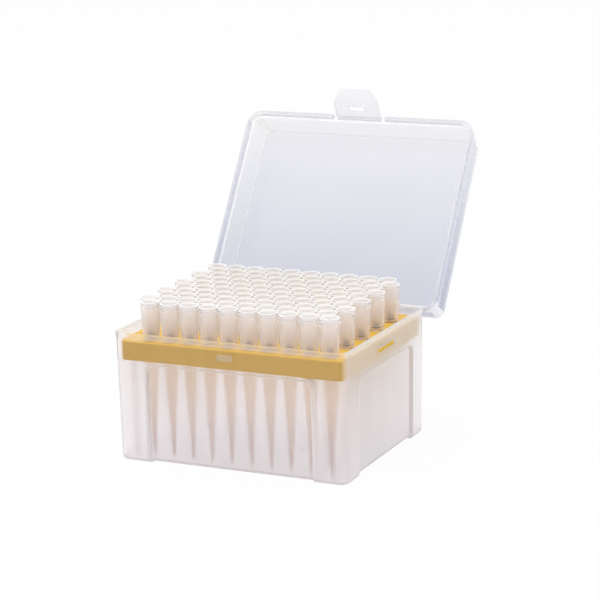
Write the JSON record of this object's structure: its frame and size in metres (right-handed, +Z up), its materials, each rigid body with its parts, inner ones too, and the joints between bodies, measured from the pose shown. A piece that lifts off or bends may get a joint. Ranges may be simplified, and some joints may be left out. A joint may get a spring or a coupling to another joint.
{
  "type": "box of pipette tips",
  "caption": "Hinged translucent box of long pipette tips standing in a yellow rack, with the clear lid open and a latch flap at its front edge.",
  "frame": {"origin": "centre of the base's underside", "axes": "+X along the rows of tips, to the right seen from the latch side; +Y to the hinge; +Z up"},
  "size_m": [0.1196, 0.167, 0.151],
  "materials": {
    "frosted_plastic": "frosted, milky polypropylene",
    "yellow_plastic": "satin, opaque",
    "clear_plastic": "smooth, bluish and see-through",
    "tip_plastic": "natural polypropylene, translucent"
  },
  "bodies": {
    "box": {"base": "frosted_plastic", "rack": "yellow_plastic", "tips_row_01": "tip_plastic", "tips_row_02": "tip_plastic", "tips_row_03": "tip_plastic", "tips_row_04": "tip_plastic", "tips_row_05": "tip_plastic", "tips_row_06": "tip_plastic", "tips_row_07": "tip_plastic", "tips_row_08": "tip_plastic", "tips_row_09": "tip_plastic", "tips_row_10": "tip_plastic"},
    "lid": {"lid": "clear_plastic"},
    "latch": {"latch": "clear_plastic"}
  },
  "joints": [
    {"name": "lid_hinge", "type": "hinge", "parent": "box", "child": "lid", "pos_m": [0, 0.04965, 0.05615], "axis": [1, 0, 0], "range_deg": [0, 123.67]},
    {"name": "latch_hinge", "type": "hinge", "parent": "lid", "child": "latch", "pos_m": [0, 0.10497, 0.13675], "axis": [1, 0, 0], "range_deg": [-58, 32]}
  ]
}
